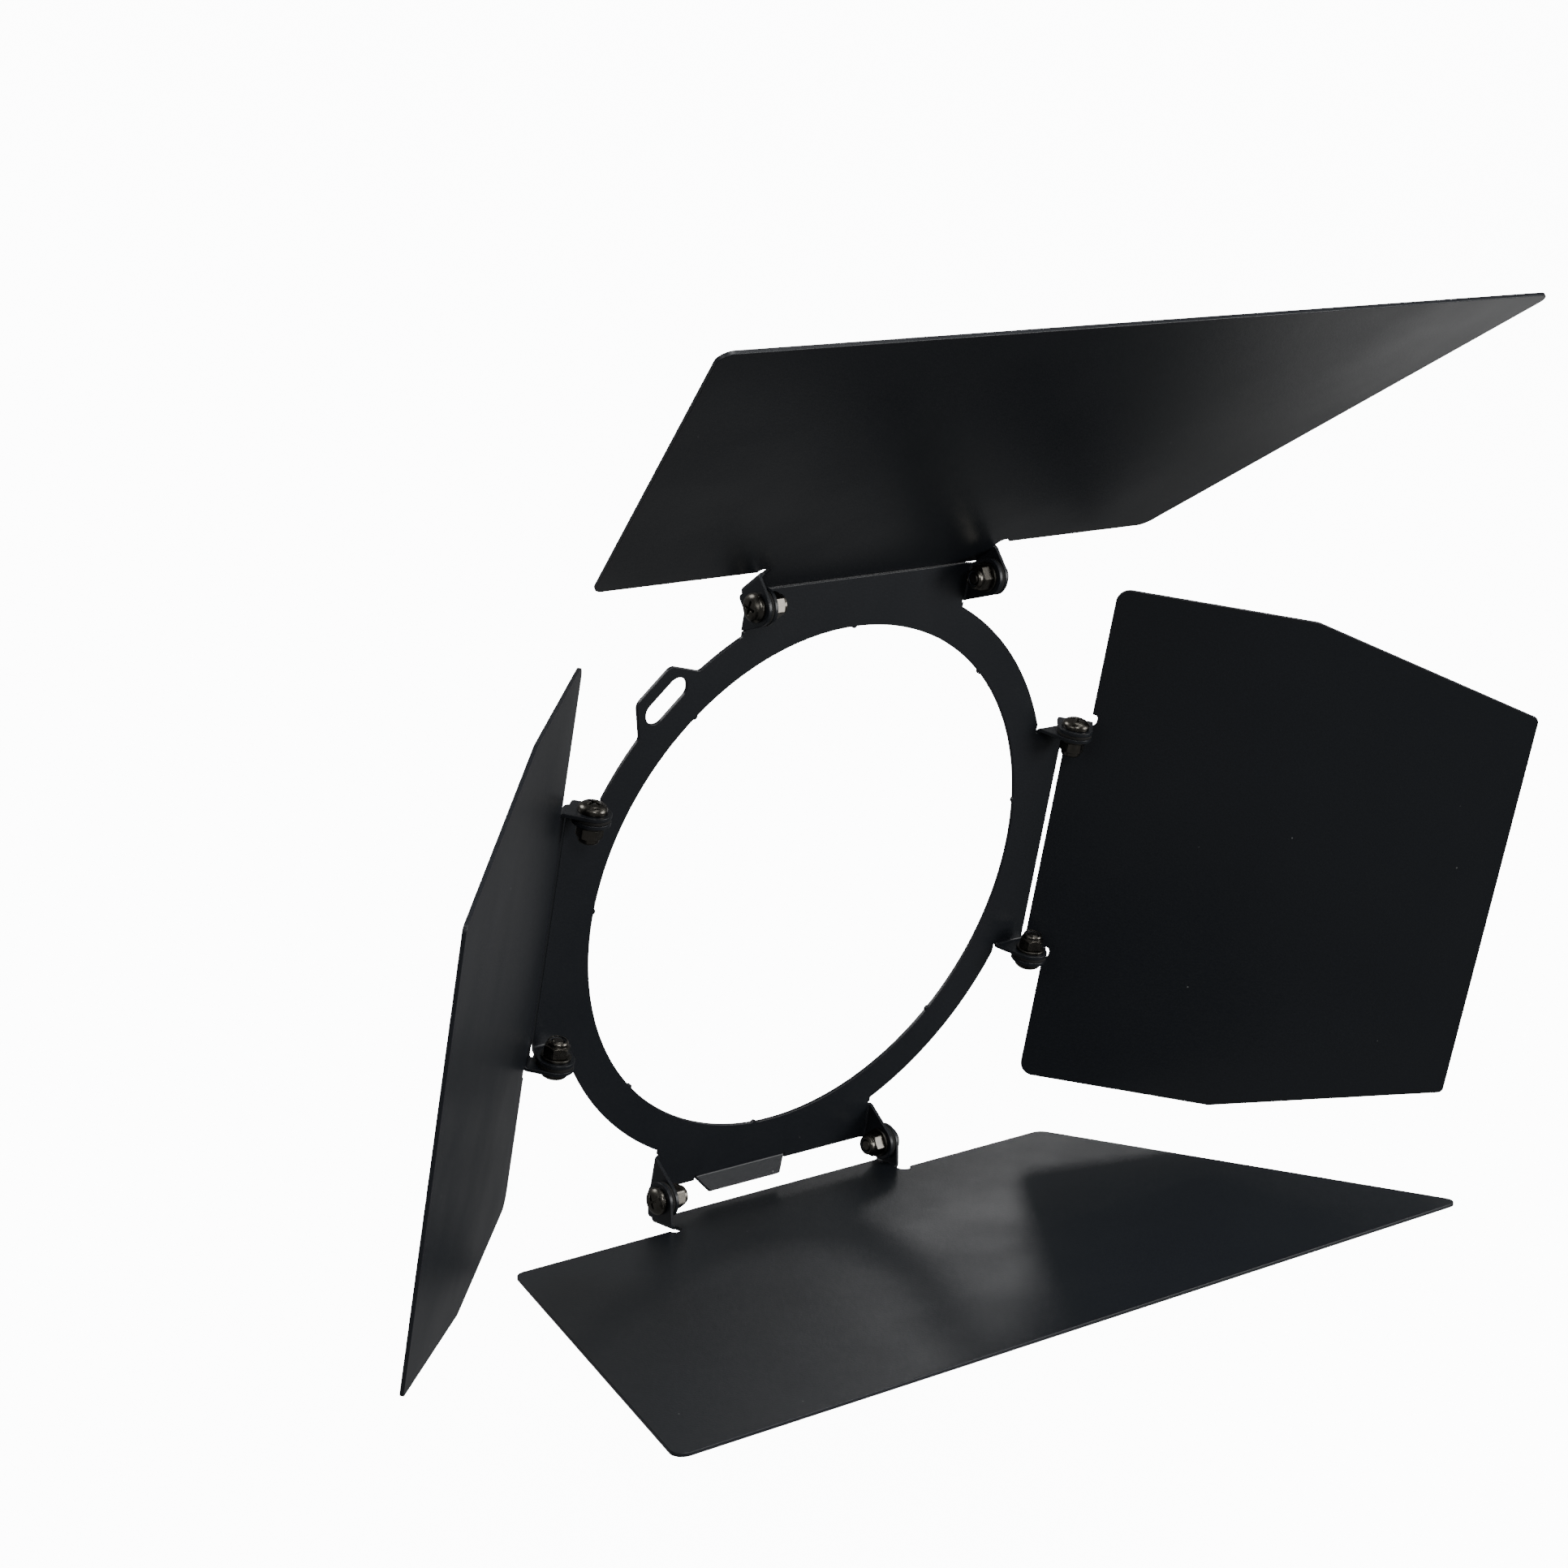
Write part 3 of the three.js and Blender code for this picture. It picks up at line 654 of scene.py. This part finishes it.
def screw_shape():
    """Shank, low dome on a short rim, and the cross recess, whose wings get shorter towards the
    bottom. The crown's rows run from the head's edge in to the lip of the recess."""
    tip = NUT_TOP - NUT_TALL + 0.1
    shank = rounded([(0.4, tip), (SHANK_RADIUS - 0.5, tip, 0.2), (SHANK_RADIUS, tip + 0.6, 0.2),
                     (SHANK_RADIUS, HEAD_LOW, 0.1), (HEAD_RADIUS, HEAD_LOW, 0.18),
                     (HEAD_RADIUS, HEAD_LOW + HEAD_RIM)])
    top = HEAD_LOW + HEAD_TALL
    fall = top - crown_level(np.full_like(TURN, 2.3))
    lip = recess_radius(WING_END - fall - 0.1)
    share = np.sin(np.linspace(0, math.pi / 2, 16)[1:-1])[::-1, None]
    crown = lip + 0.12 + (HEAD_RADIUS - lip - 0.12) * share
    crown = np.vstack((np.minimum(crown, HEAD_RADIUS - 0.004), lip + 0.12, lip + 0.03))
    heights = crown_level(crown)
    heights[-1] -= 0.03
    first = top - heights[-1] + 0.06
    down = np.linspace(0, 1, 7)[:, None] * (RECESS_DEEP - first) + first
    wall = np.minimum(recess_radius(WING_END - (down + 0.1)), lip)
    bottom = top - RECESS_DEEP - np.array([[0.05], [0.12], [0.16]]) * np.ones_like(TURN)
    radius = [np.tile(shank[:, :1], len(TURN)), crown, wall, wall[-1] * [[0.75], [0.4], [0.1]]]
    height = [np.tile(shank[:, 1:], len(TURN)), heights, top - down, bottom]
    return turned_piece(np.vstack(radius), np.vstack(height), False)


def fit_to_hinges(*pieces):
    """The given pieces at each of the eight hinge points. A piece is its kind, its process, its
    shape, material and slot, the angle from which its edges are sharp, and how it is turned about
    its axis: a first angle, another for each side and a third towards each end, in radians."""
    for number, (name, side) in enumerate(SIDES.items()):
        for end, place in side["ends"].items():
            for kind, process, (points, faces), material, slot, sharp, turns in pieces:
                turn = turns[0] + turns[1] * number + turns[2] * end
                node = f"{kind}_{name}_{place}"
                make_piece(f"{node}_{process}", on_hinge(points, side, end, turn), faces, material,
                           "frame", node, sharp=sharp)


zinc = black_zinc("steel_black_zinc_screws", "45433f", "6b6862", 0.27)
fit_to_hinges(("screw", "turned", screw_shape(), zinc, "screw_black_zinc", 32, (0.7, 1.9, 0.8)))

# ------------------------------------------------------------------------------------------
# Washers on the screws: a flat black zinc washer under each nut, punched, so one edge is
# rolled and the other crisp, and a friction washer between the ears that lets a leaf stay
# where it is put, cut from vulcanised fibre.
# ------------------------------------------------------------------------------------------

WASHER_BORE = SHANK_RADIUS + 0.1
WASHER_RADIUS = 4.5
FRICTION_RADIUS = 5.5


def washer_shape(inner, outer, low, thick, soft, crisp):
    """A ring whose section is a rectangle, with softer corners on its outer top."""
    section = rounded([(inner, low, crisp), (outer, low, crisp), (outer, low + thick, soft),
                       (inner, low + thick, crisp)], math.radians(22.5))
    return turned_piece(section[:, :1], section[:, 1:], True)


def fibre_sheet(name):
    """Vulcanised fibre dyed black: dull, with flecks 0.3 mm long and a dry, slightly rough cut."""
    material, tree, shader, where = new_material(name)
    flecks = noise(tree, where, 3000, 4)
    finish_surface(tree, shader, two_tones(tree, flecks, "0c0c0c", "1d1c1a"),
                   ranged(tree, flecks, 0.72, 0.92), flecks, 0.5, 0.00006)
    return material


washer_zinc = black_zinc("steel_black_zinc_washers", "403f3c", "5d5b56", 0.33)
fibre = fibre_sheet("vulcanised_fibre_black")
flat_washer = washer_shape(WASHER_BORE, WASHER_RADIUS, NUT_TOP + GAP, WASHER_THICK, 0.12, 0.25)
friction_washer = washer_shape(WASHER_BORE, FRICTION_RADIUS, SHEET + GAP, FRICTION_THICK, 0.1, 0.1)
fit_to_hinges(
    ("flat_washer", "turned", flat_washer, washer_zinc, "washer_black_zinc", 32, (0, 0, 0)),
    ("friction_washer", "cut", friction_washer, fibre, "friction_fibre", 32, (0, 0, 0)))

# ------------------------------------------------------------------------------------------
# Lock nuts inside the plate ears. Cold-formed M4 hexagons chamfered at both ends, black zinc,
# with a rolled collar that holds a nylon ring, which grips the thread so the nut can't come loose.
# ------------------------------------------------------------------------------------------

NUT_FLATS = 7.0
NUT_BORE = 2.05
NUT_HEXAGON = 3.3                  # height of the hexagon, the rest of the nut is its collar
COLLAR_RADIUS = 3.1
COLLAR_BORE = 2.35
RING_BORE = 2.0
RING_OUTSIDE = 2.45
RING_SEAT = 2.5
CORNER_WEAR = 0.05


def nut_shape():
    """A turned profile cut by a hexagon: at each angle the radius is the smaller of the profile's
    and the hexagon's, which is half the flats over the cosine of the angle from a flat's middle."""
    end, point = NUT_TOP - NUT_TALL, NUT_FLATS / math.sqrt(3)
    step, chamfer = NUT_TOP - NUT_HEXAGON, point - NUT_FLATS / 2
    slope = chamfer * 0.58
    section = rounded([
        (RING_SEAT, end + 0.25), (COLLAR_BORE, end + 0.25), (COLLAR_BORE, end, 0.05),
        (2.75, end, 0.25), (COLLAR_RADIUS, end + 0.5, 0.3), (COLLAR_RADIUS, step - 0.15, 0.1),
        (point - chamfer, step), (point, step + slope, 0.05), (point, NUT_TOP - slope, 0.05),
        (point - chamfer, NUT_TOP, 0.1), (2.3, NUT_TOP), (NUT_BORE, NUT_TOP - 0.2),
        (NUT_BORE, end + 1.6), (RING_SEAT, end + 1.35)], math.radians(22.5))
    section = filled(np.vstack((section, section[:1])), 0.12)[:-1]
    from_flat = np.abs((TURN + math.pi / 6) % (math.pi / 3) - math.pi / 6)
    hexagon = NUT_FLATS / 2 / np.cos(from_flat)
    soft = hexagon - CORNER_WEAR * (from_flat / (math.pi / 6)) ** 12
    return turned_piece(np.minimum(section[:, :1], soft), section[:, 1:], True)


def nylon(name):
    """Moulded nylon, dark blue-grey: waxy, with faint flow marks about 1 mm across."""
    material, tree, shader, where = new_material(name)
    flow = noise(tree, where, 900, 2)
    finish_surface(tree, shader, two_tones(tree, flow, "191b20", "2a2e35"),
                   ranged(tree, flow, 0.38, 0.55), flow, 0.2, 0.00003)
    shader.inputs["IOR"].default_value = 1.53
    return material


nut_zinc = black_zinc("steel_black_zinc_lock_nuts", "4a4844", "726e67", 0.25)
ring_nylon = nylon("nylon_lock_ring")
nylon_ring = washer_shape(RING_BORE, RING_OUTSIDE, NUT_TOP - NUT_TALL + 0.3, 1.0, 0.1, 0.1)
fit_to_hinges(
    ("lock_nut", "formed", nut_shape(), nut_zinc, "nut_black_zinc", 28, (0.3, 1.1, 0.5)),
    ("nylon_ring", "moulded", nylon_ring, ring_nylon, "lock_nylon", 32, (0, 0, 0)))

# ------------------------------------------------------------------------------------------
# Camera, floor and lights. The floor is a bowl of matt white paper, evenly lit, that rises all
# round. Soft boxes stand above, left, in front and behind; a white table below fills the shadows.
# ------------------------------------------------------------------------------------------

camera = bpy.data.objects.new("camera", bpy.data.cameras.new("camera"))
camera.location = (-0.674086, -0.702628, 0.432146)
camera.rotation_euler = [math.radians(a) for a in (67.23646407, -8.98862247, -39.35332137)]
camera.data.lens = 80.1708
camera.data.sensor_width = 36
bpy.context.scene.collection.objects.link(camera)
bpy.context.scene.camera = camera

low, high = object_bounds()
ground = -high[2] - 0.001          # clear of the bottom leaf when it opens as far as the top one
floor_half, floor_rows, floor_flat, floor_rise = 4, 81, 2.2, 0.6
reach = np.linspace(-floor_half, floor_half, floor_rows)
across, along = np.meshgrid(reach, reach)
rise = np.maximum(0, np.hypot(across, along) - floor_flat) ** 2 * floor_rise
points = np.stack((across, along, ground + rise), -1).reshape(-1, 3)
grid = np.arange(len(points)).reshape(across.shape)
quads = np.stack((grid[:-1, :-1], grid[:-1, 1:], grid[1:, 1:], grid[1:, :-1]), -1).reshape(-1, 4)
sweep = bpy.data.meshes.new("floor")
sweep.from_pydata(points.tolist(), [], quads.tolist())
sweep.polygons.foreach_set("use_smooth", np.ones(len(quads), bool))
floor = bpy.data.objects.new("floor", sweep)
bpy.context.scene.collection.objects.link(floor)
paper, tree, shader, where = new_material("matt_white_background_paper")
tint = two_tones(tree, noise(tree, where, 400, 3), "e9ebec", "f1f1f0")
tree.links.new(tint, shader.inputs["Base Color"])
tree.links.new(tint, shader.inputs["Emission Color"])
shader.inputs["Emission Strength"].default_value = 14.0
shader.inputs["Roughness"].default_value = 0.9
sweep.materials.append(paper)
floor.visible_glossy = False
floor.visible_diffuse = False


def soft_box(name, place, size, power, aim=(0, 0, 0)):
    """Square area light aimed at a point, which is the middle of the object if not given."""
    light = bpy.data.lights.new(name, "AREA")
    light.shape = "SQUARE"
    light.size = size
    light.energy = power
    lamp = bpy.data.objects.new(name, light)
    lamp.location = place
    lamp.rotation_euler = (Vector(aim) - Vector(place)).to_track_quat("-Z", "Y").to_euler()
    lamp.visible_camera = False
    bpy.context.scene.collection.objects.link(lamp)


soft_box("soft_box_above", (0.3, -0.6, 2.4), 1.6, 45)
soft_box("soft_box_left", (-2.2, -0.4, 0.9), 1.4, 14)
soft_box("soft_box_front", (-0.7, -1.5, 1.3), 0.5, 9)
soft_box("soft_box_front_right", (1.8, -1.9, 0.7), 1.3, 40)
soft_box("soft_box_behind_right", (1.98, 2.08, 0.44), 0.3, 0.85)
soft_box("soft_box_behind_left", (-1.2, 2.3, 1.5), 1.2, 30)
soft_box("white_table_right", (0.9, 0.3, low[2] + 0.01), 0.9, 1.6, (0.9, 0.3, 1))
world = bpy.data.worlds.new("dim_room")
world.use_nodes = True
world.node_tree.nodes["Background"].inputs["Color"].default_value = srgb("ffffff")
world.node_tree.nodes["Background"].inputs["Strength"].default_value = 0.16
bpy.context.scene.world = world
